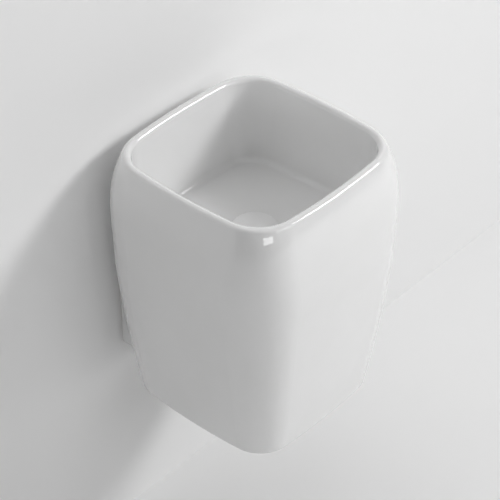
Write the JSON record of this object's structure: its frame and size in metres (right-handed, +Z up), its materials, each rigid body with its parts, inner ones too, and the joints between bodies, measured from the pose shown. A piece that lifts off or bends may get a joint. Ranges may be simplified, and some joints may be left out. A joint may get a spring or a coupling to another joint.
{
  "type": "wall-hung washbasin",
  "caption": "Barrel-shaped one-piece ceramic washbasin hung on the wall, with a deep square bowl, a press-open drain cap, and a bottle trap and wall fixings hidden in its open skirt.",
  "frame": {"origin": "on the wall plane, midway between the axes of the two wall studs", "axes": "+Y into the wall, so the basin stands out towards -Y; +Z up; X across, the basin being the same on both sides"},
  "size_m": [0.4002, 0.4654, 0.5],
  "materials": {
    "glazed_white": "gloss",
    "chrome_plate": "polished",
    "brass": "satin",
    "steel": "satin",
    "zinc_steel": "satin",
    "seal_rubber": "matte",
    "nylon": "matte",
    "trap_white": "satin",
    "trap_grey": "satin"
  },
  "bodies": {
    "basin": {"basin_body": "glazed_white", "waste_body": "chrome_plate", "flange_gasket": "seal_rubber", "underside_gasket": "seal_rubber", "slip_washer": "nylon", "waste_backnut": "brass", "click_cartridge": "brass", "click_spring": "steel", "inlet_union_nut": "trap_grey", "inlet_union_seal": "seal_rubber", "inlet_tube": "trap_white", "neck_nut": "trap_grey", "neck_seal": "seal_rubber", "trap_head": "trap_white", "outlet_nut": "trap_grey", "outlet_seal": "seal_rubber", "outlet_pipe": "trap_white", "wall_rosette": "trap_white", "fixing_studs": "zinc_steel", "stud_sleeves": "nylon", "fixing_washers": "zinc_steel", "fixing_nuts": "zinc_steel"},
    "plug": {"drain_cap": "glazed_white", "cap_seal": "seal_rubber", "cap_carrier": "chrome_plate", "click_plunger": "steel"},
    "rotor": {"click_rotor": "nylon"},
    "cup_ring": {"cup_seal": "seal_rubber"},
    "cup": {"trap_cup": "trap_white"}
  },
  "joints": [
    {"name": "cap_press", "type": "slide", "parent": "basin", "child": "plug", "axis": [0, 0, 1], "range_m": [0, 0.009], "deforming": ["click_spring"]},
    {"name": "rotor_turn", "type": "hinge", "parent": "plug", "child": "rotor", "pos_m": [0, -0.203, 0.0089], "axis": [0, 0, 1], "range_deg": [0, 45]},
    {"name": "cup_drop", "type": "slide", "parent": "basin", "child": "cup_ring", "axis": [0, 0, -1], "range_m": [0, 0.016]},
    {"name": "cup_turn", "type": "hinge", "parent": "cup_ring", "child": "cup", "pos_m": [0, -0.203, -0.206], "axis": [0, 0, -1], "range_deg": [0, 1920]}
  ],
  "couplings": [
    {"joint": "rotor_turn", "follows": "cap_press", "rad_per_m": 87.266},
    {"joint": "cup_turn", "follows": "cup_drop", "rad_per_m": 2094.4}
  ]
}
